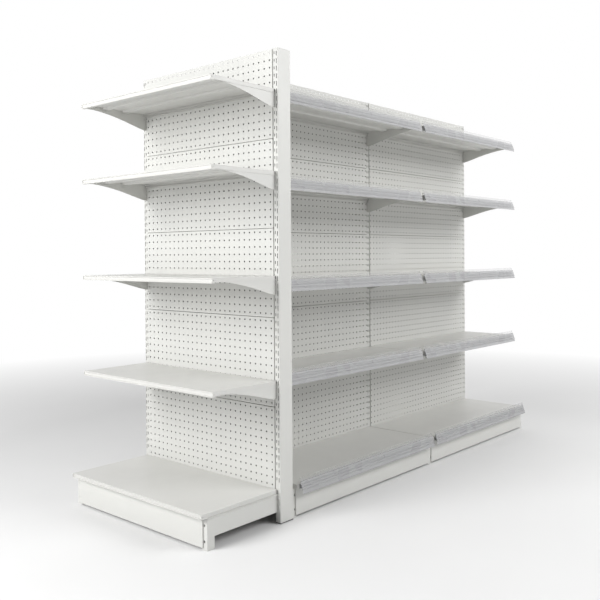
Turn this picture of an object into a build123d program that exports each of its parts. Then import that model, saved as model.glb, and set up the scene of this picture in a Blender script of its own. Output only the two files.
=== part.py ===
from build123d import *
import os

os.makedirs("parts", exist_ok=True)

# Gondola shelving: a two-bay, two-sided run of shelves with a one-sided end bay across one end.
# Everything is laid out in millimetres with X along the run, Y across it and Z up.
# X = 0 is the front plane of the end bay's uprights, Y = 0 is the middle of the run.

# ---- driving dimensions -------------------------------------------------------------------
HEIGHT = 2120.0          # floor to the top of the uprights
PITCH = 100.0 / 3.0      # vertical slot pitch, twelve to a 400 mm panel
POST_W = 30.0            # upright width, seen from the front
POST_D = 84.0            # upright depth
POST_WALL = 2.0
CAP_T = 3.0              # top cap thickness
GLIDE_T = 4.0            # foot glide thickness under an upright
END_BAY = 930.0          # centre to centre of the end bay's uprights
RUN_BAY = 1180.0         # centre to centre of neighbouring uprights in the run
FRAME_GAP = 4.0          # space between the end frame and the first upright of the run

SLOT_TOP = 2106.0        # top edge of the highest slot
SLOT_COUNT = 58
SLOT_W = 4.0
SLOT_SHORT = 13.0
SLOT_TALL = 22.0
SLOT_OFFSET = 6.5        # each slot column from the middle of its upright

PANEL_H = 400.0
PANEL_COUNT = 5
PANEL_BASE = 120.0       # underside of the lowest panel
PANEL_PROUD = 3.0        # panel face in front of the upright
PANEL_DEPTH = 17.0       # folded edge, front to back
PANEL_T = 1.0
PANEL_GAP = 1.5          # around each panel

END_STEPS = (5, 16, 30, 44)        # slots down from the top slot to each end shelf's surface
RUN_STEPS = (5, 17, 31, 44)        # the same for the run
SHEET = 1.2              # shelf and deck sheet
SHELF_D_RUN = 374.0      # depth of a run shelf, steel only
SHELF_D_END = 388.0      # depth of an end shelf, with its built-in label channel
DECK_D_RUN = 444.0
DECK_D_END = 456.0
NOSE_END = 22.0          # height of a shelf's front edge, end bay
NOSE_RUN = 30.0          # and run
DECK_NOSE = 20.0
SHELF_SKIRT = 18.0
SHELF_BACK = 4.0         # clearance behind a shelf
SHELF_SIDE = 3.0         # tray edge from the bay's centre line, each side
DECK_TOP = 153.5
CHANNEL = 4.0            # depth of the label channel folded into an end shelf's front edge

ARM_FRONT = 424.0        # base bracket, front flange from the upright's face
ARM_T = 3.0
ARM_LOW = 52.0           # underside of the arm
FOOT_L = 40.0
FLANGE_W = 36.0
FLANGE_HOLE_R = 5.0
FLANGE_HOLE_Z = (35.0, 101.0)
BOLT_R = 3.0
BOLT_CLEAR = 0.3
BOLT_HEAD_R = 5.0
BOLT_X = 7.0             # beside the arm's web
BOLT_Z = (78.0, 112.0)

BRACKET_T = 2.5
BRACKET_L = 352.0
BRACKET_H = 84.0         # height at the upright
KICK_FRONT = 430.0
KICK_LOW = 8.0
KICK_TOP = 131.0

RAIL_T = 1.5             # clear plastic label rail on a run deck
RAIL_UP = 28.0           # its top edge above the deck's surface
RAIL_DOWN = 42.0         # its bottom edge below the deck's surface
RAIL_TOP_PROUD = 3.0     # top edge in front of the deck's front edge
RAIL_LOW_PROUD = 27.0    # bottom edge in front of the deck's front edge
RAIL_END = 14.0          # the rail stops short of each end of the deck's front edge

# ---- positions derived from them ----------------------------------------------------------
RUN_X0 = POST_D + FRAME_GAP + POST_W / 2
RUN_POSTS = (RUN_X0, RUN_X0 + RUN_BAY, RUN_X0 + 2 * RUN_BAY)
BAY_X = (RUN_X0 + RUN_BAY / 2, RUN_X0 + 1.5 * RUN_BAY)
END_Y = END_BAY / 2
END_TOPS = tuple(SLOT_TOP - n * PITCH for n in END_STEPS)
RUN_TOPS = tuple(SLOT_TOP - n * PITCH for n in RUN_STEPS)
RUN_FACE = POST_D / 2
X_MIN = -DECK_D_END
X_MAX = RUN_POSTS[2] + FLANGE_W / 2
SHIFT = Pos(-(X_MIN + X_MAX) / 2, 0, 0)

FRONT, REAR, END, RUN_SIDE = 0, 180, -90, 90     # turn about Z that points a local -Y front the right way


def block(x0, x1, y0, y1, z0, z1):
    """A rectangular solid between two corners."""
    return Pos((x0 + x1) / 2, (y0 + y1) / 2, (z0 + z1) / 2) * Box(x1 - x0, y1 - y0, z1 - z0)


def plate_x(points, x0, x1):
    """A flat plate: an outline of (y, z) points, thick from x0 to x1."""
    face = make_face(Polyline([(0, y, z) for y, z in points], close=True))
    return Pos(x0, 0, 0) * extrude(face, amount=x1 - x0, dir=(1, 0, 0))


def join(parts):
    """One solid from parts that share faces or overlap."""
    whole = parts[0]
    return whole.fuse(*parts[1:]).clean() if len(parts) > 1 else whole


def solids_of(shapes):
    found = []
    for shape in shapes:
        found += list(shape.solids())
    return found


def save(name, shapes):
    """Write one node: a single solid, or a group of separate ones."""
    found = solids_of(SHIFT * shape for shape in shapes)
    export_step(found[0] if len(found) == 1 else Compound(children=found), "parts/" + name + ".step")
    print(name, len(found))


def at(shape, facing, x, y, z):
    """Place a part drawn facing -Y with its back on the uprights' front plane."""
    return Pos(x, y, z) * Rot(0, 0, facing) * shape


# ---- uprights -----------------------------------------------------------------------------
def slot_cutters(x, length, y0, y1):
    cuts = []
    for n in range(SLOT_COUNT):
        top = SLOT_TOP - n * PITCH
        cuts.append(block(x - SLOT_W / 2, x + SLOT_W / 2, y0, y1, top - length, top))
    return cuts


def upright(columns, two_sided, bolt_x):
    """A tube drawn with its front face on y = 0; columns lists (x, slot height)."""
    tube = block(-POST_W / 2, POST_W / 2, 0, POST_D, GLIDE_T, HEIGHT - CAP_T)
    bore = block(-POST_W / 2 + POST_WALL, POST_W / 2 - POST_WALL, POST_WALL, POST_D - POST_WALL, 0, HEIGHT)
    cuts = [bore]
    faces = [(-1, POST_WALL + 1, bolt_x)]
    if two_sided:
        faces.append((POST_D - POST_WALL - 1, POST_D + 1, -bolt_x))
    for y0, y1, bx in faces:
        for x, length in columns:
            cuts += slot_cutters(x, length, y0, y1)
        for z in BOLT_Z:
            hole = Pos(bx, (y0 + y1) / 2, z) * Rot(90, 0, 0) * Cylinder(BOLT_R + BOLT_CLEAR, y1 - y0)
            cuts.append(hole)
    return tube.cut(*cuts)


outer_right = ((-SLOT_OFFSET, SLOT_SHORT), (SLOT_OFFSET, SLOT_TALL))
outer_left = ((-SLOT_OFFSET, SLOT_TALL), (SLOT_OFFSET, SLOT_SHORT))
both_short = ((-SLOT_OFFSET, SLOT_SHORT), (SLOT_OFFSET, SLOT_SHORT))
save("end_upright_right", [at(upright(outer_right, False, BOLT_X), END, 0, -END_Y, 0)])
save("end_upright_left", [at(upright(outer_left, False, -BOLT_X), END, 0, END_Y, 0)])
run_post = upright(both_short, True, BOLT_X)
for name, x in zip(("near", "middle", "far"), RUN_POSTS):
    save("run_upright_" + name, [Pos(x, -RUN_FACE, 0) * run_post])

PLUG = POST_W / 2 - POST_WALL - 0.5
cap = join([block(-POST_W / 2, POST_W / 2, 0, POST_D, HEIGHT - CAP_T, HEIGHT),
            block(-PLUG, PLUG, 2.5, POST_D - 2.5, HEIGHT - CAP_T - 10, HEIGHT - CAP_T)])
glide = join([block(-POST_W / 2, POST_W / 2, 0, POST_D, 0, GLIDE_T),
              block(-PLUG, PLUG, 2.5, POST_D - 2.5, GLIDE_T, GLIDE_T + 14)])
for name, piece in (("upright_caps", cap), ("foot_glides", glide)):
    group = [at(piece, END, 0, -END_Y, 0), at(piece, END, 0, END_Y, 0)]
    group += [Pos(x, -RUN_FACE, 0) * piece for x in RUN_POSTS]
    save(name, group)


# ---- frame ties ---------------------------------------------------------------------------
def tie(length, y0, y1, z0):
    """A rectangular tube across a bay, with 2 mm walls and open ends."""
    return block(-length / 2, length / 2, y0, y1, z0, z0 + 40).cut(
        block(-length, length, y0 + 2, y1 - 2, z0 + 2, z0 + 38))


TIE_Z = (70.0, 1095.0, 2070.0)
save("end_cross_rails", [at(tie(END_BAY - POST_W, 20, 40, z), END, 0, 0, 0) for z in TIE_Z])
save("run_cross_rails", [Pos(x, 0, 0) * tie(RUN_BAY - POST_W, -15, 15, z) for x in BAY_X for z in TIE_Z])
LINK_X0, LINK_X1 = 40.0, RUN_POSTS[0] - POST_W / 2
save("frame_links", [block(LINK_X0, LINK_X1, -20, 20, z, z + 40).cut(
    block(LINK_X0 - 1, LINK_X1 + 1, -17, 17, z + 3, z + 37)) for z in TIE_Z])


# ---- back panels --------------------------------------------------------------------------
def back_panel(bay):
    """One folded panel, facing -Y, standing on z = 0, with four lugs that reach the uprights."""
    w = (bay - POST_W) / 2 - PANEL_GAP
    h = PANEL_H - PANEL_GAP
    y1 = PANEL_DEPTH - PANEL_PROUD
    shell = block(-w, w, -PANEL_PROUD, y1, 0, h).cut(
        block(-w + PANEL_T, w - PANEL_T, -PANEL_PROUD + PANEL_T, y1 + 1, PANEL_T, h - PANEL_T))
    parts = [shell]
    for z in (60.0, h - 80.0):
        parts.append(block(-w - PANEL_GAP, -w + PANEL_T, 4, 10, z, z + 20))
        parts.append(block(w - PANEL_T, w + PANEL_GAP, 4, 10, z, z + 20))
    return join(parts)


def panel_stack(panel, facing, x, y):
    return [at(panel, facing, x, y, PANEL_BASE + n * PANEL_H) for n in range(PANEL_COUNT)]


# ---- base brackets, kick plates -----------------------------------------------------------
def base_bracket(web_x, flange_x0, flange_x1, seat_x0, seat_x1, bolt_x):
    """Arm from an upright's foot: web, rear bolting flange, front flange, foot and deck seat."""
    seat = DECK_TOP - DECK_NOSE
    outline = [(0, seat - 2.5), (-ARM_FRONT, seat - 2.5), (-ARM_FRONT, 0), (-ARM_FRONT + FOOT_L, 0),
               (-ARM_FRONT + FOOT_L, ARM_LOW), (0, ARM_LOW)]
    web = plate_x(outline, web_x - ARM_T / 2, web_x + ARM_T / 2)
    rear = block(-13, 13, -3, 0, ARM_LOW, seat - 2.5)
    front = block(flange_x0, flange_x1, -ARM_FRONT, -ARM_FRONT + 2.5, 0, seat - 2.5)
    foot = block(flange_x0, flange_x1, -ARM_FRONT, -ARM_FRONT + FOOT_L, 0, 3)
    top = block(seat_x0, seat_x1, -ARM_FRONT, -4, seat - 2.5, seat)
    cuts = []
    for z in BOLT_Z:
        cuts.append(Pos(bolt_x, -1.5, z) * Rot(90, 0, 0) * Cylinder(BOLT_R + BOLT_CLEAR, 8))
    mid = (flange_x0 + flange_x1) / 2
    side = 9.0 if abs(mid) < 1 else 0.0
    for z in FLANGE_HOLE_Z:
        cuts.append(Pos(mid + side, -ARM_FRONT + 1, z) * Rot(90, 0, 0) * Cylinder(FLANGE_HOLE_R, 8))
    return join([web, rear, front, foot, top]).cut(*cuts)


run_arm = base_bracket(0, -FLANGE_W / 2, FLANGE_W / 2, -18, 18, BOLT_X)
end_arm_right = base_bracket(-3, -FLANGE_W, -1.5, -25, 5, BOLT_X)
end_arm_left = base_bracket(3, 1.5, FLANGE_W, -5, 25, -BOLT_X)
bolt_spots = [(END, 0, -END_Y, BOLT_X), (END, 0, END_Y, -BOLT_X)]
# Facing -X turns local +X to world -Y, so the right-hand arm's flange lies towards the bay's middle.
save("end_base_brackets", [at(end_arm_right, END, 0, -END_Y, 0), at(end_arm_left, END, 0, END_Y, 0)])
for name, x in zip(("near", "middle", "far"), RUN_POSTS):
    pair = [at(run_arm, FRONT, x, -RUN_FACE, 0), at(run_arm, REAR, x, RUN_FACE, 0)]
    save("run_base_brackets_" + name, pair)
    bolt_spots += [(FRONT, x, -RUN_FACE, BOLT_X), (REAR, x, RUN_FACE, BOLT_X)]


def bolt(x, z):
    """A button-head screw through an arm's rear flange and the upright's wall."""
    shank = Pos(x, 1.5, z) * Rot(90, 0, 0) * Cylinder(BOLT_R, 9)
    head = Pos(x, -4.5, z) * Rot(90, 0, 0) * Cylinder(BOLT_HEAD_R, 3)
    return join([shank, head])


def kick_plate(half):
    """Folded plinth panel that closes the space under a deck."""
    face = block(-half, half, -KICK_FRONT, -KICK_FRONT + SHEET, KICK_LOW, KICK_TOP)
    top = block(-half, half, -KICK_FRONT, -KICK_FRONT + 5.5, KICK_TOP - SHEET, KICK_TOP)
    low = block(-half, half, -KICK_FRONT, -KICK_FRONT + 5.5, KICK_LOW, KICK_LOW + SHEET)
    ends = [block(s * (half - SHEET / 2) - SHEET / 2, s * (half - SHEET / 2) + SHEET / 2,
                  -KICK_FRONT, -ARM_FRONT, KICK_LOW, KICK_TOP) for s in (-1, 1)]
    return join([face, top, low] + ends)


# ---- shelf trays and decks ----------------------------------------------------------------
def tray(width, depth, nose, skirt, channelled):
    """A folded shelf facing -Y; its top surface is z = 0 and the uprights' face is y = 0."""
    w, t = width / 2, SHEET
    parts = [block(-w, w, -depth, -SHELF_BACK, -t, 0)]
    web = -depth + CHANNEL if channelled else -depth
    parts.append(block(-w, w, web, web + t, -nose, 0))
    parts.append(block(-w, w, -depth, web + 14, -nose, -nose + t))
    parts.append(block(-w + 2, w - 2, web + 14 - t, web + 14, -nose, -nose + 6))
    if channelled:
        parts.append(block(-w, w, -depth, -depth + t, -4.5, 0))
        parts.append(block(-w, w, -depth, -depth + t, -nose, -nose + 4.5))
    for s in (-1, 1):
        x0, x1 = sorted((s * (w - t), s * w))
        parts.append(block(x0, x1, -depth + (1 if channelled else 0), -SHELF_BACK, -skirt, 0))
        parts.append(block(x0, x1, -depth, web + 14, -nose, 0))
    for y in (-0.36 * depth, -0.66 * depth):
        parts.append(block(-w + 16, w - 16, y - 20, y - 20 + t, -11, 0))
        parts.append(block(-w + 16, w - 16, y + 20 - t, y + 20, -11, 0))
        parts.append(block(-w + 16, w - 16, y - 20, y + 20, -11, -11 + t))
    parts.append(block(-w + 22, w - 22, -SHELF_BACK - t, -SHELF_BACK, -skirt, 0))
    parts.append(block(-w + 22, w - 22, -SHELF_BACK - 12, -SHELF_BACK, -skirt, -skirt + t))
    body = join(parts)
    hole = Pos(0, web + 6, -nose / 2 + 1) * Rot(0, 90, 0) * Cylinder(2.4, width + 10)
    return body.cut(hole)


def label_rail(length):
    """Clear label rail for a run deck: a slanted front with two ledges that grip the deck's edge."""
    y0 = -DECK_D_RUN
    lean = (RAIL_LOW_PROUD - RAIL_TOP_PROUD) / (RAIL_UP + RAIL_DOWN)

    def slant(z, back):
        return (y0 - RAIL_TOP_PROUD - (RAIL_UP - z) * lean + back, z)

    outline = [slant(RAIL_UP, 0), slant(-RAIL_DOWN, 0), slant(-RAIL_DOWN, RAIL_T), slant(-19.0, RAIL_T),
               (y0, -19.0), (y0, -17.5), slant(-17.5, RAIL_T), slant(-2.5, RAIL_T), (y0, -2.5),
               (y0, -1.0), slant(-1.0, RAIL_T), slant(RAIL_UP, RAIL_T)]
    return plate_x(outline, -length / 2, length / 2)


# ---- shelf brackets -----------------------------------------------------------------------
def shelf_bracket():
    """Flat plate with a curved underside and two hooks that drop into the upright's slots."""
    top = -SHEET
    with BuildSketch(Plane.YZ) as sk:
        with BuildLine():
            Polyline((-0.4, -BRACKET_H), (-0.4, -15), (-12, top), (-BRACKET_L, top), (-BRACKET_L, -17))
            Spline((-BRACKET_L, -17), (-240, -29), (-130, -53), (-49, -75), (-14, -BRACKET_H + 1))
            Line((-14, -BRACKET_H + 1), (-0.4, -BRACKET_H))
        make_face()
    plate = extrude(sk.sketch, amount=BRACKET_T / 2, both=True)
    parts = [plate]
    for n in (1, 2):
        seat = -n * PITCH - SLOT_SHORT
        parts.append(block(-BRACKET_T / 2, BRACKET_T / 2, -0.5, 5.3, seat, seat + 9.7))
        parts.append(block(-BRACKET_T / 2, BRACKET_T / 2, POST_WALL + 0.3, 5.3, seat - 2, seat + 9.7))
    return join(parts)


hook_plate = shelf_bracket()


def bracket_set(bay, facing, x, y, tops):
    """Both brackets of every shelf in one bay."""
    off = bay / 2 - SLOT_OFFSET
    group = []
    for top in tops:
        for s in (-1, 1):
            group.append(at(Pos(s * off, 0, 0) * hook_plate, facing, x, y, top))
    return group


# ---- the end bay --------------------------------------------------------------------------
end_width = END_BAY - 2 * SHELF_SIDE
run_width = RUN_BAY - 2 * SHELF_SIDE
end_panel = back_panel(END_BAY)
run_panel = back_panel(RUN_BAY)
save("end_back_panels", panel_stack(end_panel, END, 0, 0))
rear_panels = panel_stack(end_panel, RUN_SIDE, POST_D - PANEL_PROUD, 0)     # flush with the uprights
for z in TIE_Z[1:]:
    window = block(POST_D - 3, POST_D + 1, -21, 21, z - 1, z + 41)
    rear_panels = [panel.cut(window) for panel in rear_panels]
save("end_rear_panels", rear_panels)
save("end_kick_plate", [at(kick_plate(441.0), END, 0, 0, 0)])
save("end_shelf_brackets", bracket_set(END_BAY, END, 0, 0, END_TOPS))
end_tray = tray(end_width, SHELF_D_END, NOSE_END, SHELF_SKIRT, True)
for n, top in enumerate(END_TOPS, 1):
    save("end_shelf_%d" % n, [at(end_tray, END, 0, 0, top)])
save("end_deck", [at(tray(end_width, DECK_D_END, DECK_NOSE, DECK_NOSE, True), END, 0, 0, DECK_TOP)])

# ---- the run ------------------------------------------------------------------------------
run_tray = tray(run_width, SHELF_D_RUN, NOSE_RUN, SHELF_SKIRT, False)
run_deck = tray(run_width, DECK_D_RUN, DECK_NOSE, DECK_NOSE, False)
run_kick = kick_plate(RUN_BAY / 2 - 10.0)
run_rail = label_rail(run_width - 2 * RAIL_END)
for bay, x in zip(("bay1", "bay2"), BAY_X):
    for side, facing, y in (("front", FRONT, -RUN_FACE), ("rear", REAR, RUN_FACE)):
        tag = bay + "_" + side + "_"
        save(tag + "back_panels", panel_stack(run_panel, facing, x, y))
        save(tag + "kick_plate", [at(run_kick, facing, x, y, 0)])
        save(tag + "shelf_brackets", bracket_set(RUN_BAY, facing, x, y, RUN_TOPS))
        for n, top in enumerate(RUN_TOPS, 1):
            save(tag + "shelf_%d" % n, [at(run_tray, facing, x, y, top)])
        save(tag + "deck", [at(run_deck, facing, x, y, DECK_TOP)])
        save(tag + "deck_label_rail", [at(run_rail, facing, x, y, DECK_TOP)])

save("fasteners", [at(bolt(bx, z), facing, x, y, 0) for facing, x, y, bx in bolt_spots for z in BOLT_Z])
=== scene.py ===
"""Looks for a gondola shelving unit: punched back panels, folded trays, ribbed label rails and powder coat.

Sizes inside the mesh builders are millimetres; objects, lights and the camera are in metres.
"""

import math

import bmesh
import bpy
import numpy as np
from mathutils import Matrix, Vector


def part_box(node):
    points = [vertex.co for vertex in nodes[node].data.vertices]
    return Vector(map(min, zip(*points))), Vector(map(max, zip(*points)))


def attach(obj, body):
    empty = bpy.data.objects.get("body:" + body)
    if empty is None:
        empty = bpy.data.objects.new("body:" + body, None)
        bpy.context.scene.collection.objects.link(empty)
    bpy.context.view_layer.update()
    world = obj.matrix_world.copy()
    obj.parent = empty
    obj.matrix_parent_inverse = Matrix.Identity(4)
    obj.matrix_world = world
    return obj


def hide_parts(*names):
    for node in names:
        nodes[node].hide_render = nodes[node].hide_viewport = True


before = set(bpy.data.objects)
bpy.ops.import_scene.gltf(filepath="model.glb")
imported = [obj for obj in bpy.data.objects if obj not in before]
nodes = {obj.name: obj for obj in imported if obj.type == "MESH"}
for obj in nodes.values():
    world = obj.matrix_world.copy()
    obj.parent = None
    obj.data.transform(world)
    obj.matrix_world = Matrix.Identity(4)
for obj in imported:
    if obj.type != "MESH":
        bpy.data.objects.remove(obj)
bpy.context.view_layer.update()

MM = 0.001
NEAR = 1e-6  # tolerances of the mesh builders
EXACT = 1e-9
WELD_REACH = 0.00001  # metres: points this close are one
PITCH = 100.0 / 3.0  # slot pitch of the uprights and hole pitch of the panels

# ---- sizes in millimetres -----------------------------------------------------------------
PANEL_T = 1.0
PANEL_BEND = 1.6
PANEL_H = 398.5
PANEL_COUNT = 5
PANEL_STEP = 400.0
PANEL_HOLE_R = 4.0
HOLE_ROWS = 12
LUG = 1.5  # reach of a panel's lugs beyond its folded sides
LINK_HALF = 21.0  # half the width of the window around a frame link
LINK_GAP = 1.0  # gap above and below a frame link in its window
COLUMNS_END = 27
COLUMNS_RUN = 35
HOLE_SIDES = 16  # a multiple of 4: a quarter of them faces each corner of the cell

TRAY_T = 1.2
TRAY_BEND = 1.5
NOSE_BEND = 3.2
NOSE_RETURN = 14.0
NOSE_HEM = 6.0
LIP = 4.5  # lips of the label channel in an end shelf's front edge
LIP_BEND = 0.9
CHANNEL = 4.0  # its depth
SHELF_SKIRT = 18.0
BACK_RETURN = 12.0
NOSE_HOLE_R = 2.4
SHELF_LEVELS = ("shelf_1", "shelf_2", "shelf_3", "shelf_4")  # from the top down

# hat-shaped stiffeners under a tray
HAT_PLACES = (0.36, 0.66)  # shares of the tray's depth, from its back
HAT_FLANGE = 30.0  # half the width over the flanges
HAT_FOOT = 20.0  # half the width where the walls meet the flanges
HAT_CROWN = 17.0  # half the width at the crown
HAT_LOW = 11.0  # the crown's underside below the tray's top
HAT_GAP = 0.05  # between the flanges and the tray's underside
HAT_INSET = 18.0  # from the tray's ends

POST_T = 2.0
POST_BEND = 2.2
SEAM = 0.01  # a tube's outline ends this far short of its start, and that last point is dropped
WALL_SLACK = 0.00001  # metres, as are the next two: reach of the test for a tube's inside
BEND_SLACK = 0.0011
INWARD = 0.001
SLOT_TOP = 2106.0
SLOT_COUNT = 58
SLOT_W = 4.0
SLOT_OFFSET = 6.5  # of a slot column from the upright's middle
SLOT_MATCH = 0.1  # a cell this near a column's middle belongs to it
SLOT_SHORT = 13.0
SLOT_TALL = 22.0

RAIL_T = 1.5
RAIL_TOP_PROUD = 3.0  # top and bottom edges of a label rail in front of its tray
RAIL_LOW_PROUD = 27.0
RAIL_END = 14.0  # from the tray's ends
RAIL_RIBS = 3
RAIL_RIB_TOP = 12.0  # top of the ribbed band above the tray's surface
RAIL_RIB_STEP = 12.0
# points of a rail's section, as (drop, set back from the slanted front); a minus stands proud of it
RAIL_RIB = ((0.0, -1.6), (4.5, -2.0), (9.0, -0.2), (11.0, 0.9))
RAIL_LEDGE = ((0.0, -2.4), (3.0, -2.4), (3.4, 0.6))
RAIL_LIP = ((0.0, 0.5), (0.5, 0.1))  # eased top edge
RAIL_SKIN = 0.1  # set back of the smooth band above the ribs
RAIL_SKIN_END = 1.0  # its lower end above the ribs
RAIL_FOOT = ((-2.0, 0.6), (0.0, 0.9))  # eased bottom edge
GRIP_DROP = 1.0  # the upper gripping ledge below the tray's surface
GRIP_T = 1.5  # thickness of the gripping ledges
GRIP_RISE = 2.5  # the lower gripping ledge above the nose's lower edge

KICK_GAP = 0.5  # a kick plate's top and bottom folds stop short of its side folds

# button-head screw
BOLT_SIDES = 24
BOLT_DOME = ((3.6, 0.35), (4.6, 1.1), (5.0, 2.0), (5.0, 3.0))  # (radius, distance from the crown)
BOLT_SHANK_R = 3.0
BOLT_TIP_R = 2.2
BOLT_TIP = 0.8  # length of the tip's taper
SOCKET_R = 2.0  # from the middle to a flat
SOCKET_D = 1.6
SOCKET_RIM = 0.5  # the crown's dome starts this far beyond the flats

FLAT_NORMAL = 0.9995  # least part of a flat face's normal that lies along one axis
FACING_TURN = {"front": 0.0, "rear": 180.0, "end": -90.0, "run_side": 90.0}
FRAME_BODY = "frame"
# the four sides of the run, as (first part of their nodes' names, facing)
SIDES = [("%s_%s" % (bay, side), side) for bay in ("bay1", "bay2") for side in ("front", "rear")]


# ---- mesh building ------------------------------------------------------------------------
def unit(v):
    return v / np.linalg.norm(v)


def left_of(v):
    return np.array((-v[1], v[0]))


def bent(path, steps=3):
    """Points and left-hand normals along a line of (a, b, radius) corners; radius 0 is a plain station."""
    corners = [np.array(p[:2], float) for p in path]
    points, normals = [], []
    for k, (_, _, radius) in enumerate(path):
        here = corners[k]
        into = unit(here - corners[k - 1]) if k else unit(corners[1] - here)
        out = unit(corners[k + 1] - here) if k + 1 < len(path) else into
        turn = math.atan2(into[0] * out[1] - into[1] * out[0], into @ out)
        if radius == 0:
            points.append(here)
            normals.append(left_of(into))
            continue
        inward = left_of(into) * math.copysign(1, turn)
        start = here - into * radius * math.tan(abs(turn) / 2)
        for s in range(steps + 1):
            angle = abs(turn) * s / steps
            points.append(start + radius * (math.sin(angle) * into + (1 - math.cos(angle)) * inward))
            normals.append(left_of(math.cos(angle) * into + math.sin(angle) * inward))
    return np.array(points), np.array(normals)


def add_hole(bm, grids, corners, hole):
    """Punch a round hole in one cell: hole is (share across, share along, radius)."""
    across, along, radius = hole
    rings = []
    for grid in grids:
        p00, p10, p11, p01 = [grid[a][b].co for a, b in corners]
        u, v = (p10 - p00).normalized(), (p01 - p00).normalized()
        low, high = p00.lerp(p10, across), p01.lerp(p11, across)
        centre = low.lerp(high, along)
        ring = []
        for n in range(HOLE_SIDES):
            angle = 2 * math.pi * n / HOLE_SIDES
            ring.append(bm.verts.new(centre + radius * (math.cos(angle) * u + math.sin(angle) * v)))
        rings.append(ring)
        i00, i10, i11, i01 = [grid[a][b] for a, b in corners]
        around = (i11, i01, i00, i10)
        quarter = HOLE_SIDES // 4
        for q, corner in enumerate(around):
            for n in range(q * quarter, (q + 1) * quarter):
                bm.faces.new((corner, ring[n], ring[(n + 1) % HOLE_SIDES]))
            bm.faces.new((corner, ring[(q + 1) * quarter % HOLE_SIDES], around[(q + 1) % 4]))
    for n in range(HOLE_SIDES):
        m = (n + 1) % HOLE_SIDES
        bm.faces.new((rings[0][n], rings[0][m], rings[1][m], rings[1][n]))


def add_sheet(bm, front, back, solid, wrap=False, holes=None):
    """A closed sheet between two grids of points, over its solid cells, with round holes in some."""
    count = len(front)
    grids = [[[bm.verts.new(p) for p in row] for row in grid] for grid in (front, back)]
    holes = holes or {}
    for i, j in sorted(solid):
        k = (i + 1) % count
        corners = ((i, j), (k, j), (k, j + 1), (i, j + 1))
        if (i, j) in holes:
            add_hole(bm, grids, corners, holes[i, j])
        else:
            for grid in grids:
                bm.faces.new([grid[a][b] for a, b in corners])
        before = (i - 1) % count if wrap else i - 1
        after = k if wrap else i + 1
        edges = (((before, j), (i, j), (i, j + 1)), ((after, j), (k, j), (k, j + 1)),
                 ((i, j - 1), (i, j), (k, j)), ((i, j + 1), (i, j + 1), (k, j + 1)))
        for neighbour, (a, b), (c, d) in edges:
            if neighbour not in solid:
                bm.faces.new((grids[0][a][b], grids[0][c][d], grids[1][c][d], grids[1][a][b]))


def add_extrusion(bm, path, t, low, high, place):
    """A bent strip of thickness t, drawn in a plane and drawn out from low to high."""
    points, normals = bent(path)
    grids = []
    for side in (0.5, -0.5):
        line = points + normals * t * side
        grids.append([[place(a, b, c) for c in (low, high)] for a, b in line])
    add_sheet(bm, grids[0], grids[1], {(i, 0) for i in range(len(points) - 1)})


def add_pan(bm, u_path, v_path, t, place, keep=None, holes=None):
    """A sheet with folded edges: u_path and v_path are its two sections, as (position, depth, radius).

    The corners where two folds would meet are left open, as on a folded blank."""
    sections = [bent(path) for path in (u_path, v_path)]
    flat = []
    for points, normals in sections:
        level = np.abs(points[:, 1] - t / 2) < EXACT
        flat.append([bool(f) for f in level & (normals[:, 1] > 1 - EXACT)])
    grids = []
    for side in (0.5, -0.5):
        u, v = [points + normals * t * side for points, normals in sections]
        level = t / 2 + t * side
        grids.append([[place(a[0], b[0], a[1] + b[1] - level) for b in v] for a in u])
    solid = set()
    for i in range(len(flat[0]) - 1):
        for j in range(len(flat[1]) - 1):
            level_u = flat[0][i] and flat[0][i + 1]
            level_v = flat[1][j] and flat[1][j + 1]
            middle = [(points[n] + points[n + 1]) / 2 for (points, _), n in zip(sections, (i, j))]
            if (level_u or level_v) and (keep is None or keep(*middle)):
                solid.add((i, j))
    punched = {}
    for a, b, radius in holes or ():
        i, across = cell_of(sections[0][0], a)
        j, along = cell_of(sections[1][0], b)
        punched[i, j] = (across, along, radius)
    add_sheet(bm, grids[0], grids[1], solid, holes=punched)


def cell_of(points, target):
    """The segment of a section that holds a point, and the share of the way along it."""
    for n in range(len(points) - 1):
        run = points[n + 1] - points[n]
        share = (np.array(target) - points[n]) @ run / (run @ run)
        gap = np.linalg.norm(points[n] + share * run - target)
        if 0 < share < 1 and gap < NEAR:
            return n, float(share)
    raise ValueError("no segment holds %s" % (target,))


def add_prism(bm, outline, low, high, place):
    """A solid with a flat outline, drawn out from low to high."""
    ends = [[bm.verts.new(place(a, b, c)) for a, b in outline] for c in (low, high)]
    for end in ends:
        bm.faces.new(end)
    for n in range(len(outline)):
        m = (n + 1) % len(outline)
        bm.faces.new((ends[0][n], ends[0][m], ends[1][m], ends[1][n]))


def painted_shade_faces(depth, sheet):
    """Picks the faces on the inside of a folded sheet's front, which get painted shade, for a part with its
    back on y = 0.
    """
    behind = -(depth - 1.5 * sheet) * MM

    def picked(face):
        return face.normal.y > 0.5 and face.calc_center_median().y < behind

    return picked


def make_mesh(bm, name, materials, smooth_angle=35.0, inner=None):
    """A mesh in metres with outward normals, from a builder in millimetres.

    Folds and rims take the second material, and faces for which inner(face) is true take the third, a
    painted shade."""
    bmesh.ops.scale(bm, vec=(MM, MM, MM), verts=bm.verts)
    bmesh.ops.delete(bm, geom=[v for v in bm.verts if not v.link_faces], context="VERTS")
    bmesh.ops.recalc_face_normals(bm, faces=bm.faces)
    if len(materials) > 1:
        for face in bm.faces:
            if max(map(abs, face.normal)) < FLAT_NORMAL:
                face.material_index = 1
            if inner and inner(face):
                face.material_index = 2
    for face in bm.faces:
        face.smooth = True
    mesh = bpy.data.meshes.new(name)
    bm.to_mesh(mesh)
    bm.free()
    mesh.set_sharp_from_angle(angle=math.radians(smooth_angle))
    for material in materials:
        mesh.materials.append(material)
    return mesh


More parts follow.
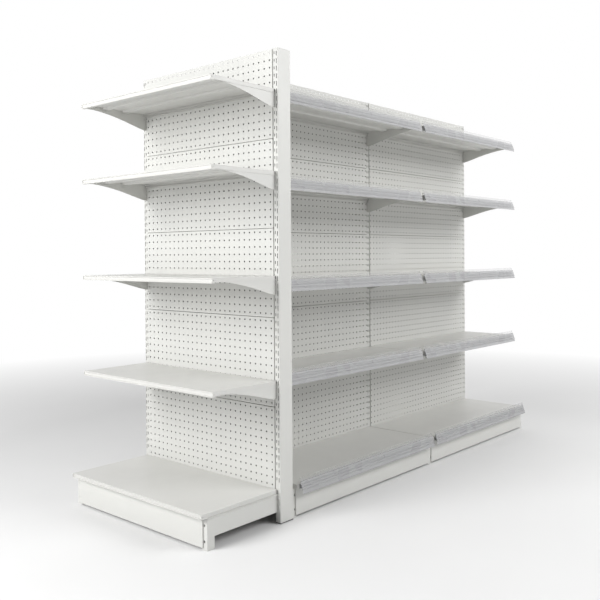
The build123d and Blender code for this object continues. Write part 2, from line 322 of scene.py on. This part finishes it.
def add_piece(name, mesh, body, place, replaced=()):
    piece = bpy.data.objects.new(name, mesh)
    bpy.context.scene.collection.objects.link(piece)
    piece.matrix_world = place
    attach(piece, body)
    if replaced:
        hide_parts(*replaced)
    return piece


def even_normals(piece):
    """Keeps large faces flat beside their rounded folds."""
    modifier = piece.modifiers.new("even_normals", "WEIGHTED_NORMAL")
    modifier.keep_sharp = True


def stand(node, facing, top):
    """Where a part drawn facing -Y, with its back on y = 0, stands in a node's box.

    Also gives the box's width and depth in millimetres, as seen by the part."""
    lo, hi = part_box(node)
    middle = (lo + hi) / 2
    z = hi.z if top else lo.z
    size = (hi - lo) / MM
    if facing in ("end", "run_side"):
        back = hi.x if facing == "end" else lo.x
        origin, width, depth = Vector((back, middle.y, z)), size.y, size.x
    else:
        back = hi.y if facing == "front" else lo.y
        origin, width, depth = Vector((middle.x, back, z)), size.x, size.y
    turn = Matrix.Rotation(math.radians(FACING_TURN[facing]), 4, "Z")
    return Matrix.Translation(origin) @ turn, width, depth


# ---- materials ----------------------------------------------------------------------------
WHITE = (0.640, 0.640, 0.614)
WHITE_SHADE = (0.615, 0.617, 0.596)
TRAY_WHITE = (0.645, 0.642, 0.618)
TRAY_SHADE = (0.622, 0.620, 0.598)
PRIMER = (0.42, 0.42, 0.41)
INSIDE_PAINTED_SHADE = (0.085, 0.085, 0.082)  # painted shade: a near-black coat inside folded panels and tubes, where only shade falls
INSIDE_PAINTED_SHADE_DRIFT = (0.070, 0.070, 0.068)
CLEAR = (0.455, 0.457, 0.466)
CLEAR_LINE = (0.520, 0.522, 0.530)
CLEAR_FADE = (0.010, 0.014)  # metres above a tray's surface: here a rail's haze gives way to its clear edge
CLEAR_ALPHA = (0.72, 0.16)  # below and above that
CAP = (0.66, 0.66, 0.64)
CAP_SHADE = (0.62, 0.62, 0.60)
GLIDE = (0.030, 0.030, 0.032)
GLIDE_SHADE = (0.045, 0.045, 0.047)
ZINC = (0.56, 0.57, 0.58)
ZINC_SPANGLE = (0.74, 0.74, 0.72)
FLOOR = (0.80, 0.80, 0.80)
FLOOR_MOTTLE = (0.82, 0.82, 0.82)
FLOOR_FADE = (2.2, 5.5)  # metres from the unit's middle: the floor turns into a white glow


class Surface:
    """A material under construction: a Principled shader and helpers that add nodes in front of it."""

    def __init__(self, name):
        self.material = bpy.data.materials.new(name)
        self.material.use_nodes = True
        self.tree = self.material.node_tree
        self.shader = self.tree.nodes["Principled BSDF"]
        self.where = self.tree.nodes.new("ShaderNodeTexCoord").outputs["Object"]

    def link(self, out, to):
        self.tree.links.new(out, to)

    def noise(self, scale, detail=3.0, stretch=None, roughness=0.5):
        """A noise value of 0 to 1 in the piece's own coordinates; scale is in features a metre."""
        node = self.tree.nodes.new("ShaderNodeTexNoise")
        node.inputs["Scale"].default_value = scale
        node.inputs["Detail"].default_value = detail
        node.inputs["Roughness"].default_value = roughness
        source = self.where
        if stretch:
            mapping = self.tree.nodes.new("ShaderNodeMapping")
            mapping.inputs["Scale"].default_value = stretch
            self.link(source, mapping.inputs["Vector"])
            source = mapping.outputs["Vector"]
        self.link(source, node.inputs["Vector"])
        return node.outputs["Fac"]

    def span(self, value, from_low, from_high, to_low, to_high):
        """A value carried over from one range to another."""
        node = self.tree.nodes.new("ShaderNodeMapRange")
        ends = {"From Min": from_low, "From Max": from_high, "To Min": to_low, "To Max": to_high}
        for key, number in ends.items():
            node.inputs[key].default_value = number
        self.link(value, node.inputs["Value"])
        return node.outputs["Result"]

    def blend(self, share, first, second):
        """A mix of two colours, each a tuple or an output."""
        node = self.tree.nodes.new("ShaderNodeMix")
        node.data_type = "RGBA"
        self.link(share, node.inputs["Factor"])
        for socket, colour in ((node.inputs[6], first), (node.inputs[7], second)):
            if isinstance(colour, tuple):
                socket.default_value = (*colour, 1.0)
            else:
                self.link(colour, socket)
        return node.outputs[2]

    def bump(self, height, strength, distance, under=None):
        """A normal from a height; distance is in metres, and under is the normal that it is laid over."""
        node = self.tree.nodes.new("ShaderNodeBump")
        node.inputs["Strength"].default_value = strength
        node.inputs["Distance"].default_value = distance
        self.link(height, node.inputs["Height"])
        if under:
            self.link(under, node.inputs["Normal"])
        return node.outputs["Normal"]

    def finish(self, colour, roughness, normal):
        self.link(colour, self.shader.inputs["Base Color"])
        self.link(roughness, self.shader.inputs["Roughness"])
        self.link(normal, self.shader.inputs["Normal"])
        return self.material


def powder_coat(name, tint, shade, chip, chip_share, scuff):
    """Powder coat: orange peel, slow colour drift, fine rubs, and chips where the coat is thin."""
    s = Surface(name)
    drift = s.span(s.noise(1.7, 2.0), 0.35, 0.65, 0.0, 1.0)
    colour = s.blend(drift, tint, shade)
    rubs = s.span(s.noise(22.0, 5.0, stretch=(0.35, 5.0, 5.0), roughness=0.65), 0.60, 0.78, 0.0, scuff)
    colour = s.blend(rubs, colour, tuple(0.86 * c for c in shade))
    chips = s.span(s.noise(170.0, 3.0), 1 - chip_share, 1 - chip_share + 0.03, 0.0, 0.75)
    colour = s.blend(chips, colour, chip)
    roughness = s.span(s.noise(9.0, 4.0), 0.3, 0.7, 0.36, 0.47)
    peel = s.bump(s.noise(420.0, 2.0), 0.35, 0.00012)
    wave = s.bump(s.noise(14.0, 1.0), 0.25, 0.0006, under=peel)
    s.shader.inputs["Specular IOR Level"].default_value = 0.42
    return s.finish(colour, roughness, wave)


def clear_plastic(name):
    """Clear grey extruded PVC: faint drawing lines, a hazy ribbed front and a clearer top edge."""
    s = Surface(name)
    lines = s.noise(9.0, 2.0, stretch=(0.02, 6.0, 6.0))
    colour = s.blend(s.span(lines, 0.35, 0.65, 0.0, 1.0), CLEAR, CLEAR_LINE)
    roughness = s.span(s.noise(6.0, 2.0), 0.3, 0.7, 0.24, 0.32)
    normal = s.bump(s.noise(300.0, 1.0), 0.05, 0.00005)
    height = s.tree.nodes.new("ShaderNodeSeparateXYZ")
    s.link(s.where, height.inputs["Vector"])
    s.link(s.span(height.outputs["Z"], *CLEAR_FADE, *CLEAR_ALPHA), s.shader.inputs["Alpha"])
    return s.finish(colour, roughness, normal)


def moulded_plastic(name, tint, shade):
    """Moulded plastic with a fine spark-eroded grain."""
    s = Surface(name)
    colour = s.blend(s.span(s.noise(12.0, 3.0), 0.3, 0.7, 0.0, 1.0), tint, shade)
    roughness = s.span(s.noise(90.0, 2.0), 0.3, 0.7, 0.45, 0.62)
    normal = s.bump(s.noise(900.0, 2.0), 0.4, 0.0001)
    return s.finish(colour, roughness, normal)


def zinc_plate(name):
    """Bright zinc plating with a faint spangle."""
    s = Surface(name)
    colour = s.blend(s.span(s.noise(260.0, 4.0), 0.35, 0.65, 0.0, 1.0), ZINC, ZINC_SPANGLE)
    roughness = s.span(s.noise(180.0, 3.0), 0.3, 0.7, 0.26, 0.42)
    normal = s.bump(s.noise(600.0, 2.0), 0.3, 0.0001)
    s.shader.inputs["Metallic"].default_value = 1.0
    return s.finish(colour, roughness, normal)


def floor_paint(name):
    """Pale studio floor with a faint mottle; far off it glows white, so the main camera sees no horizon."""
    s = Surface(name)
    reach = s.tree.nodes.new("ShaderNodeVectorMath")
    reach.operation = "LENGTH"
    s.link(s.where, reach.inputs[0])
    glow = s.span(reach.outputs["Value"], *FLOOR_FADE, 0.0, 1.0)
    lamp = s.tree.nodes.new("ShaderNodeEmission")
    lamp.inputs["Color"].default_value = (1.0, 1.0, 1.0, 1.0)
    lamp.inputs["Strength"].default_value = 1.0
    mix = s.tree.nodes.new("ShaderNodeMixShader")
    s.link(glow, mix.inputs["Fac"])
    s.link(s.shader.outputs["BSDF"], mix.inputs[1])
    s.link(lamp.outputs["Emission"], mix.inputs[2])
    s.link(mix.outputs["Shader"], s.tree.nodes["Material Output"].inputs["Surface"])
    colour = s.blend(s.span(s.noise(0.8, 3.0), 0.3, 0.7, 0.0, 1.0), FLOOR, FLOOR_MOTTLE)
    roughness = s.span(s.noise(5.0, 2.0), 0.3, 0.7, 0.75, 0.85)
    normal = s.bump(s.noise(60.0, 2.0), 0.05, 0.0005)
    return s.finish(colour, roughness, normal)


coat = powder_coat("coated_steel", WHITE, WHITE_SHADE, PRIMER, 0.0, 0.15)
coat_fold = powder_coat("coated_steel_folds", WHITE_SHADE, WHITE, PRIMER, 0.24, 0.3)
tray_coat = powder_coat("coated_tray", TRAY_WHITE, TRAY_SHADE, PRIMER, 0.0, 0.35)
tray_fold = powder_coat("coated_tray_folds", TRAY_SHADE, TRAY_WHITE, PRIMER, 0.26, 0.3)
clear = clear_plastic("clear_rail")
cap_plastic = moulded_plastic("cap_plastic", CAP, CAP_SHADE)
# painted shade: near-black coat for the insides of folded panels and tubes, seen through holes and slots
painted_shade_coat = powder_coat("painted_shade_inside", INSIDE_PAINTED_SHADE, INSIDE_PAINTED_SHADE_DRIFT, PRIMER, 0.0, 0.15)
glide_plastic = moulded_plastic("glide_plastic", GLIDE, GLIDE_SHADE)
zinc = zinc_plate("zinc_screws")
SLOT_MATERIALS = {
    "coated_steel": (coat, coat_fold),
    "coated_tray": (tray_coat, tray_fold),
    "clear_rail": (clear, clear),
    "cap_plastic": (cap_plastic, cap_plastic),
    "glide_plastic": (glide_plastic, glide_plastic),
    "zinc_screws": (zinc, zinc),
}


# ---- back panels --------------------------------------------------------------------------
def panel_mesh(width, depth, columns):
    """One punched panel, standing on z = 0, its folded edges turned back to y = 0."""
    bm = bmesh.new()
    half, mid = width / 2, PANEL_T / 2
    centres_u = [(k - (columns - 1) / 2) * PITCH for k in range(columns)]
    centres_v = [(k + 0.5) * PITCH for k in range(HOLE_ROWS)]
    u_path = [(-half + mid, depth, 0), (-half + mid, mid, PANEL_BEND)]
    u_path += [(c + PITCH / 2, mid, 0) for c in centres_u[:-1]]
    u_path += [(half - mid, mid, PANEL_BEND), (half - mid, depth, 0)]
    v_path = [(mid, depth, 0), (mid, mid, PANEL_BEND)]
    v_path += [(c + PITCH / 2, mid, 0) for c in centres_v[:-1]]
    v_path += [(PANEL_H - mid, mid, PANEL_BEND), (PANEL_H - mid, depth, 0)]
    holes = [((u, mid), (v, mid), PANEL_HOLE_R) for u in centres_u for v in centres_v]
    add_pan(bm, u_path, v_path, PANEL_T, lambda u, v, d: (u, d - depth, v), holes=holes)
    name = "punched_panel_%d" % columns
    return make_mesh(bm, name, (coat, coat_fold, painted_shade_coat), inner=painted_shade_faces(depth, PANEL_T))


def liner_mesh(width, depth, windows):
    """Five plain folded panels one above another, with a square window wherever a frame link passes."""
    bm = bmesh.new()
    half, mid = width / 2, PANEL_T / 2
    u_path = [(-half + mid, depth, 0), (-half + mid, mid, PANEL_BEND)]
    u_path += [(-LINK_HALF, mid, 0), (LINK_HALF, mid, 0)]
    u_path += [(half - mid, mid, PANEL_BEND), (half - mid, depth, 0)]
    for n in range(PANEL_COUNT):
        base = n * PANEL_STEP
        inside = [(low - base, high - base) for low, high in windows
                  if base < low and high < base + PANEL_H]
        v_path = [(mid, depth, 0), (mid, mid, PANEL_BEND)]
        for low, high in inside:
            v_path += [(low, mid, 0), (high, mid, 0)]
        v_path += [(PANEL_H - mid, mid, PANEL_BEND), (PANEL_H - mid, depth, 0)]

        def keep(u, v):
            return abs(u[0]) > LINK_HALF or not any(low < v[0] < high for low, high in inside)

        add_pan(bm, u_path, v_path, PANEL_T, lambda u, v, d: (u, d - depth, v + base), keep=keep)
    return make_mesh(bm, "rear_panels", (coat, coat_fold, painted_shade_coat), inner=painted_shade_faces(depth, PANEL_T))


def add_panels(node, mesh, place):
    """One bay side's five punched panels: a single mesh, repeated upwards."""
    piece = add_piece(node + "_punched", mesh, FRAME_BODY, place, [node])
    stack = piece.modifiers.new("stack", "ARRAY")
    stack.count = PANEL_COUNT
    stack.use_relative_offset = False
    stack.use_constant_offset = True
    stack.constant_offset_displace = (0, 0, PANEL_STEP * MM)
    even_normals(piece)


# ---- trays --------------------------------------------------------------------------------
def tray_mesh(name, width, depth, nose, skirt, channel):
    """A folded tray facing -Y, with its top at z = 0 and its back at y = 0.

    channel is the depth of the label channel in its front edge, or 0 for a plain edge."""
    bm = bmesh.new()
    t, mid = TRAY_T, TRAY_T / 2
    half, front = width / 2, -depth
    web = front + channel
    rear_of_nose = web + NOSE_RETURN

    def place(a, b, d):
        return (a, b, -d)

    v_path = [(rear_of_nose - mid, nose - NOSE_HEM, 0), (rear_of_nose - mid, nose - mid, TRAY_BEND)]
    if channel:
        v_path += [(front + mid, nose - mid, LIP_BEND), (front + mid, nose - LIP + mid, LIP_BEND),
                   (web + mid, nose - LIP + mid, LIP_BEND), (web + mid, LIP - mid, LIP_BEND),
                   (front + mid, LIP - mid, LIP_BEND), (front + mid, mid, LIP_BEND)]
        top_bend = LIP_BEND
    else:
        v_path += [(front + mid, nose - mid, TRAY_BEND), (front + mid, mid, NOSE_BEND)]
        top_bend = NOSE_BEND
    v_path += [(rear_of_nose, mid, 0), (-mid, mid, TRAY_BEND), (-mid, skirt - mid, TRAY_BEND),
               (-BACK_RETURN, skirt - mid, 0)]
    low = [nose, skirt] if nose > skirt else [skirt]
    u_path = [(-half + mid, d, 0) for d in low] + [(-half + mid, mid, TRAY_BEND)]
    u_path += [(-a, b, r) for a, b, r in reversed(u_path)]

    def keep(u, v):
        return u[1] < skirt or v[0] < rear_of_nose

    hole_y = (front + mid + top_bend + rear_of_nose) / 2
    hole_d = (mid + TRAY_BEND + skirt) / 2
    holes = [((s * (half - mid), hole_d), (hole_y, mid), NOSE_HOLE_R) for s in (-1, 1)]
    add_pan(bm, u_path, v_path, t, place, keep=keep, holes=holes)
    under = t + HAT_GAP + mid
    for share in HAT_PLACES:
        y = -share * depth
        hat = [(y - HAT_FLANGE, under, 0), (y - HAT_FOOT, under, LIP_BEND),
               (y - HAT_CROWN, HAT_LOW - mid, LIP_BEND), (y + HAT_CROWN, HAT_LOW - mid, LIP_BEND),
               (y + HAT_FOOT, under, LIP_BEND), (y + HAT_FLANGE, under, 0)]
        add_extrusion(bm, hat, t, -half + HAT_INSET, half - HAT_INSET, lambda a, b, c: (c, a, -b))
    return make_mesh(bm, name, SLOT_MATERIALS["coated_tray"])


# ---- label rails --------------------------------------------------------------------------
def rail_mesh(name, length, up, down, grip):
    """Clear label rail: a slanted, ribbed front, and two ledges that grip an edge grip mm deep.

    The edge's front face is y = 0 and its top is z = 0; the front runs from up above it to down below."""
    bm = bmesh.new()
    lean = (RAIL_LOW_PROUD - RAIL_TOP_PROUD) / (up + down)

    def face(z, back):
        return (-RAIL_TOP_PROUD - (up - z) * lean + back, z)

    outline = [face(up - drop, back) for drop, back in RAIL_LIP]
    outline.append(face(RAIL_RIB_TOP + RAIL_SKIN_END, RAIL_SKIN))
    for n in range(RAIL_RIBS):
        z = RAIL_RIB_TOP - n * RAIL_RIB_STEP
        outline += [face(z - drop, back) for drop, back in RAIL_RIB]
    low = RAIL_RIB_TOP - RAIL_RIBS * RAIL_RIB_STEP
    outline += [face(low - drop, back) for drop, back in RAIL_LEDGE]
    outline += [face(-down - drop, back) for drop, back in RAIL_FOOT]
    outline.append(face(-down, RAIL_T))
    for z in (-grip, -GRIP_DROP):
        outline += [face(z - GRIP_T, RAIL_T), (0.0, z - GRIP_T), (0.0, z), face(z, RAIL_T)]
    outline.append(face(up, RAIL_T))
    add_prism(bm, outline, -length / 2, length / 2, lambda a, b, c: (c, a, b))
    return make_mesh(bm, name, (clear,), smooth_angle=20.0)


# ---- uprights -----------------------------------------------------------------------------
def upright_mesh(name, columns, two_sided, width, depth, low, high):
    """A slotted tube facing -Y with its back on y = 0; columns lists (x, slot height)."""
    bm = bmesh.new()
    mid = POST_T / 2
    half = width / 2 - mid
    edges = sorted(x + s * SLOT_W / 2 for x, _ in columns for s in (-1, 1))
    front, back = -depth + mid, -mid
    path = [(-half, -depth / 2, 0), (-half, front, POST_BEND)]
    path += [(x, front, 0) for x in edges]
    path += [(half, front, POST_BEND), (half, back, POST_BEND)]
    path += [(x, back, 0) for x in reversed(edges)]
    path += [(-half, back, POST_BEND), (-half, -depth / 2 + SEAM, 0)]
    points, normals = bent(path)
    points, normals = points[:-1], normals[:-1]
    tops = [SLOT_TOP - n * PITCH for n in range(SLOT_COUNT)]
    lengths = {length for _, length in columns}
    levels = sorted({low, high} | set(tops) | {z - length for z in tops for length in lengths})
    grids = []
    for side in (-0.5, 0.5):
        line = points + normals * POST_T * side
        grids.append([[(a, b, z) for z in levels] for a, b in line])
    solid = set()
    count = len(points)
    for i in range(count):
        a, b = points[i], points[(i + 1) % count]
        on_face = abs(a[1] - b[1]) < NEAR and (a[1] < -depth / 2 or two_sided)
        x = (a[0] + b[0]) / 2
        slots = [length for cx, length in columns if on_face and abs(x - cx) < SLOT_MATCH]
        for j in range(len(levels) - 1):
            z = (levels[j] + levels[j + 1]) / 2
            if not any(top - length < z < top for length in slots for top in tops):
                solid.add((i, j))
    add_sheet(bm, grids[0], grids[1], solid, wrap=True)
    inside = (half - mid) * MM + WALL_SLACK
    front_wall = (-depth + 1.5 * POST_T) * MM - BEND_SLACK
    back_wall = -1.5 * POST_T * MM + BEND_SLACK

    def hidden(face):
        """Faces on the tube's inside, which are turned towards its middle; they get painted shade."""
        at = face.calc_center_median()
        inward = -(at.x * face.normal.x) - (at.y + depth / 2 * MM) * face.normal.y
        return abs(at.x) < inside and front_wall < at.y < back_wall and inward > INWARD

    return make_mesh(bm, name, (coat, coat_fold, painted_shade_coat), inner=hidden)


# ---- kick plates and bolts ----------------------------------------------------------------
def kick_mesh(name, width, depth, height):
    """Plinth panel with its four edges folded back, standing on z = 0."""
    bm = bmesh.new()
    mid = TRAY_T / 2
    half = width / 2
    u_path = [(-half + mid, depth, 0), (-half + mid, mid, TRAY_BEND), (half - mid, mid, TRAY_BEND),
              (half - mid, depth, 0)]
    v_path = [(mid, depth - KICK_GAP, 0), (mid, mid, TRAY_BEND), (height - mid, mid, TRAY_BEND),
              (height - mid, depth - KICK_GAP, 0)]
    add_pan(bm, u_path, v_path, TRAY_T, lambda u, v, d: (u, d - depth, v))
    return make_mesh(bm, name, SLOT_MATERIALS["coated_steel"])


def islands(node):
    """The box of each separate solid in a CAD node, in metres."""
    bm = bmesh.new()
    bm.from_mesh(nodes[node].data)
    bmesh.ops.remove_doubles(bm, verts=bm.verts, dist=WELD_REACH)
    found, seen = [], set()
    for start in bm.verts:
        if start in seen:
            continue
        group, queue = [], [start]
        seen.add(start)
        while queue:
            v = queue.pop()
            group.append(v.co.copy())
            for edge in v.link_edges:
                other = edge.other_vert(v)
                if other not in seen:
                    seen.add(other)
                    queue.append(other)
        corners = np.array(group)
        found.append((Vector(corners.min(0)), Vector(corners.max(0))))
    bm.free()
    return found


def bolt_mesh(length):
    """Button-head screw pointing +Y from its crown at y = 0: domed head, hexagon socket, shank."""
    bm = bmesh.new()
    turns = [2 * math.pi * n / BOLT_SIDES for n in range(BOLT_SIDES)]
    profile = [(SOCKET_R + SOCKET_RIM, 0.0), *BOLT_DOME, (BOLT_SHANK_R, BOLT_DOME[-1][1]),
               (BOLT_SHANK_R, length - BOLT_TIP), (BOLT_TIP_R, length)]
    rings = []
    for radius, y in profile:
        rings.append([bm.verts.new((radius * math.cos(a), y, radius * math.sin(a))) for a in turns])
    socket = []
    for y in (0.0, SOCKET_D):
        ring = []
        for a in turns:
            flat = math.cos(math.pi / 6) / math.cos(a % (math.pi / 3) - math.pi / 6)
            radius = SOCKET_R * flat / math.cos(math.pi / 6)
            ring.append(bm.verts.new((radius * math.cos(a), y, radius * math.sin(a))))
        socket.append(ring)
    bands = [socket[1], socket[0]] + rings
    for a, b in zip(bands, bands[1:]):
        for n in range(BOLT_SIDES):
            m = (n + 1) % BOLT_SIDES
            bm.faces.new((a[n], a[m], b[m], b[n]))
    bm.faces.new(bands[0])
    bm.faces.new(bands[-1])
    return make_mesh(bm, "button_head_screw", (zinc,))


# ---- carried-over CAD nodes ---------------------------------------------------------------
CAP_EDGE = 0.8  # millimetres by which the edges of the carried-over parts are eased
GLIDE_EDGE = 0.6
TUBE_EDGE = 1.0
ARM_EDGE = 0.5
BRACKET_EDGE = 0.45
FLAT_LIMIT = math.radians(1.0)  # faces this close to level are joined
EDGE_LIMIT = math.radians(40.0)  # edges sharper than this are eased


def dress(node, slot, edge):
    """Material for a CAD node, with its sharp edges eased by edge mm."""
    obj = nodes[node]
    obj.data.materials.clear()
    for material in SLOT_MATERIALS[slot]:
        obj.data.materials.append(material)
    weld = obj.modifiers.new("weld", "WELD")
    weld.merge_threshold = WELD_REACH
    flats = obj.modifiers.new("flats", "DECIMATE")
    flats.decimate_type = "DISSOLVE"
    flats.angle_limit = FLAT_LIMIT
    ease = obj.modifiers.new("ease", "BEVEL")
    ease.width = edge * MM
    ease.segments = 2
    ease.limit_method = "ANGLE"
    ease.angle_limit = EDGE_LIMIT
    ease.material = 1
    ease.use_clamp_overlap = True
    even_normals(obj)


# ---- build: end bay and run ---------------------------------------------------------------
def build_panels():
    meshes = {}
    jobs = [("end_back_panels", "end", COLUMNS_END)]
    jobs += [(tag + "_back_panels", side, COLUMNS_RUN) for tag, side in SIDES]
    for node, facing, columns in jobs:
        place, width, depth = stand(node, facing, top=False)
        if columns not in meshes:
            meshes[columns] = panel_mesh(width - 2 * LUG, depth, columns)
        add_panels(node, meshes[columns], place)
    node = "end_rear_panels"
    place, width, depth = stand(node, "run_side", top=False)
    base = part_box(node)[0].z / MM
    windows = [(lo.z / MM - LINK_GAP - base, hi.z / MM + LINK_GAP - base)
               for lo, hi in islands("frame_links")]
    windows = sorted(pair for pair in windows if pair[0] > 0)
    mesh = liner_mesh(width - 2 * LUG, depth, windows)
    even_normals(add_piece(node + "_folded", mesh, FRAME_BODY, place, [node]))


def build_trays():
    trays, rails = {}, {}
    for tag, facing in [("end", "end")] + SIDES:
        channel = CHANNEL if facing == "end" else 0.0
        for level in (*SHELF_LEVELS, "deck"):
            node = "%s_%s" % (tag, level)
            place, width, depth = stand(node, facing, top=True)
            lo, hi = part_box(node)
            nose = (hi.z - lo.z) / MM
            skirt = nose if level == "deck" else min(nose, SHELF_SKIRT)
            form = "deck" if level == "deck" else "shelf"
            kind = "%s_%s" % ("end" if channel else "run", form)
            if kind not in trays:
                trays[kind] = tray_mesh("folded_" + kind, width, depth, nose, skirt, channel)
            even_normals(add_piece(node + "_tray", trays[kind], node, place, [node]))
            if channel:
                continue
            rail_lo, rail_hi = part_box("%s_deck_label_rail" % tag)
            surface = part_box("%s_deck" % tag)[1].z
            up, down = (rail_hi.z - surface) / MM, (surface - rail_lo.z) / MM
            replaced = [node + "_label_rail"] if level == "deck" else []
            if form not in rails:
                length = width - 2 * RAIL_END
                rails[form] = rail_mesh("ribbed_rail_" + form, length, up, down, nose - GRIP_RISE)
            front = place @ Matrix.Translation((0, -depth * MM, 0))
            add_piece(node + "_label_rail_clear", rails[form], node, front, replaced)


def build_uprights():
    """End uprights have a tall outer and a short inner column, run uprights two short ones on two sides."""
    short_pair = ((-SLOT_OFFSET, SLOT_SHORT), (SLOT_OFFSET, SLOT_SHORT))
    jobs = [("end_upright_right", "end", ((-SLOT_OFFSET, SLOT_SHORT), (SLOT_OFFSET, SLOT_TALL)), False),
            ("end_upright_left", "end", ((-SLOT_OFFSET, SLOT_TALL), (SLOT_OFFSET, SLOT_SHORT)), False)]
    jobs += [("run_upright_" + name, "front", short_pair, True) for name in ("near", "middle", "far")]
    for node, facing, columns, two_sided in jobs:
        place, width, depth = stand(node, facing, top=False)
        place.translation.z = 0.0
        lo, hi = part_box(node)
        mesh = upright_mesh(node + "_tube", columns, two_sided, width, depth, lo.z / MM, hi.z / MM)
        even_normals(add_piece(node + "_tube", mesh, FRAME_BODY, place, [node]))


def build_kick_plates():
    for tag, facing in [("end", "end")] + SIDES:
        node = tag + "_kick_plate"
        place, width, depth = stand(node, facing, top=False)
        lo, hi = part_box(node)
        mesh = kick_mesh(node + "_folded", width, depth, (hi.z - lo.z) / MM)
        even_normals(add_piece(node + "_folded", mesh, FRAME_BODY, place, [node]))


def build_bolts():
    """One button-head screw where each CAD fastener is, all in one piece."""
    boxes = islands("fasteners")
    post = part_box("run_upright_near")
    mesh = None
    whole = bmesh.new()
    for lo, hi in boxes:
        middle = (lo + hi) / 2
        size = hi - lo
        if size.x > size.y:
            facing, crown = "end", Vector((lo.x, middle.y, middle.z))
            length = size.x / MM
        elif middle.y < (post[0].y + post[1].y) / 2:
            facing, crown = "front", Vector((middle.x, lo.y, middle.z))
            length = size.y / MM
        else:
            facing, crown = "rear", Vector((middle.x, hi.y, middle.z))
            length = size.y / MM
        if mesh is None:
            mesh = bolt_mesh(length)
        turn = Matrix.Rotation(math.radians(FACING_TURN[facing]), 4, "Z")
        first = len(whole.verts)
        whole.from_mesh(mesh)
        whole.verts.ensure_lookup_table()
        bmesh.ops.transform(whole, matrix=Matrix.Translation(crown) @ turn, verts=whole.verts[first:])
    joined = bpy.data.meshes.new("button_head_screws")
    whole.to_mesh(joined)
    whole.free()
    joined.materials.append(zinc)
    bpy.data.meshes.remove(mesh)
    even_normals(add_piece("fasteners_button_head", joined, FRAME_BODY, Matrix.Identity(4),
                           ["fasteners"]))


build_panels()
build_trays()
build_uprights()
build_kick_plates()
build_bolts()

dress("upright_caps", "cap_plastic", CAP_EDGE)
dress("foot_glides", "glide_plastic", GLIDE_EDGE)
for carried in ("end_cross_rails", "run_cross_rails", "frame_links"):
    dress(carried, "coated_steel", TUBE_EDGE)
for carried in ("end_base_brackets", "run_base_brackets_near", "run_base_brackets_middle",
                "run_base_brackets_far"):
    dress(carried, "coated_steel", ARM_EDGE)
for carried in nodes:
    if carried.endswith("_shelf_brackets"):
        dress(carried, "coated_steel", BRACKET_EDGE)


# ---- stage --------------------------------------------------------------------------------
FLOOR_CELLS = 8
FLOOR_HALF = 30.0
FLOOR_DROP = 0.0005  # keeps the floor just clear of the feet
SKY_TOWARDS = (0.747, 0.665, 0.0)  # level direction from the main camera to the unit
SKY_TURN = (0.1, 0.65)  # share of a direction along it where the sky starts and stops rising
SKY_FRONT = 0.21
SKY_BEHIND = 1.0
LIGHTS = (  # name, place, aim, size, watts
    ("key", (-6.0, 1.0, 3.2), (-1.2, 0.0, 1.0), (3.0, 3.0), 325.0),
    ("side", (1.7, -4.8, 3.7), (0.5, 0.0, 0.6), (4.0, 2.5), 235.0),
)
CAMERA_AT = Vector((-3.5113, -2.7582, 1.1988))
CAMERA_YAW = math.radians(41.68)  # from +X towards +Y
CAMERA_PITCH = math.radians(0.46)  # downwards
CAMERA_ROLL = math.radians(-0.38)
CAMERA_LENS = 45.70
CAMERA_SENSOR = 36.0
CAMERA_SHIFT = (0.0200, -0.0648)


def add_floor():
    bm = bmesh.new()
    bmesh.ops.create_grid(bm, x_segments=FLOOR_CELLS, y_segments=FLOOR_CELLS, size=FLOOR_HALF)
    mesh = bpy.data.meshes.new("studio_floor")
    bm.to_mesh(mesh)
    bm.free()
    mesh.materials.append(floor_paint("studio_floor"))
    floor = bpy.data.objects.new("studio_floor", mesh)
    floor.location.z = -FLOOR_DROP
    bpy.context.scene.collection.objects.link(floor)


def add_area(name, location, target, size, power):
    light = bpy.data.lights.new(name, "AREA")
    light.shape = "RECTANGLE"
    light.size, light.size_y = size
    light.energy = power
    lamp = bpy.data.objects.new(name, light)
    lamp.location = location
    aim = Vector(target) - Vector(location)
    lamp.rotation_euler = aim.to_track_quat("-Z", "Y").to_euler()
    bpy.context.scene.collection.objects.link(lamp)


def add_world(front, behind):
    """Surroundings of strength front, rising to behind in the directions beyond the unit."""
    world = bpy.data.worlds.new("studio")
    world.use_nodes = True
    tree = world.node_tree
    direction = tree.nodes.new("ShaderNodeTexCoord").outputs["Generated"]
    facing = tree.nodes.new("ShaderNodeVectorMath")
    facing.operation = "DOT_PRODUCT"
    facing.inputs[1].default_value = SKY_TOWARDS
    ramp = tree.nodes.new("ShaderNodeMapRange")
    ramp.interpolation_type = "SMOOTHSTEP"
    start, stop = SKY_TURN
    for key, number in (("From Min", start), ("From Max", stop), ("To Min", front), ("To Max", behind)):
        ramp.inputs[key].default_value = number
    background = tree.nodes["Background"]
    background.inputs["Color"].default_value = (1.0, 1.0, 1.0, 1.0)
    tree.links.new(direction, facing.inputs[0])
    tree.links.new(facing.outputs["Value"], ramp.inputs["Value"])
    tree.links.new(ramp.outputs["Result"], background.inputs["Strength"])
    bpy.context.scene.world = world


def add_camera():
    data = bpy.data.cameras.new("camera")
    data.lens = CAMERA_LENS
    data.sensor_width = CAMERA_SENSOR
    data.shift_x, data.shift_y = CAMERA_SHIFT
    camera = bpy.data.objects.new("camera", data)
    bpy.context.scene.collection.objects.link(camera)
    level = math.cos(CAMERA_PITCH)
    forward = Vector((math.cos(CAMERA_YAW) * level, math.sin(CAMERA_YAW) * level, -math.sin(CAMERA_PITCH)))
    right = Vector((math.sin(CAMERA_YAW), -math.cos(CAMERA_YAW), 0.0))
    up = right.cross(forward)
    c, s = math.cos(CAMERA_ROLL), math.sin(CAMERA_ROLL)
    turn = Matrix((right * c + up * s, up * c - right * s, -forward)).transposed()
    camera.matrix_world = Matrix.Translation(CAMERA_AT) @ turn.to_4x4()
    bpy.context.scene.camera = camera


add_floor()
add_world(SKY_FRONT, SKY_BEHIND)
for light in LIGHTS:
    add_area(*light)
add_camera()
bpy.context.scene.view_settings.view_transform = "Standard"
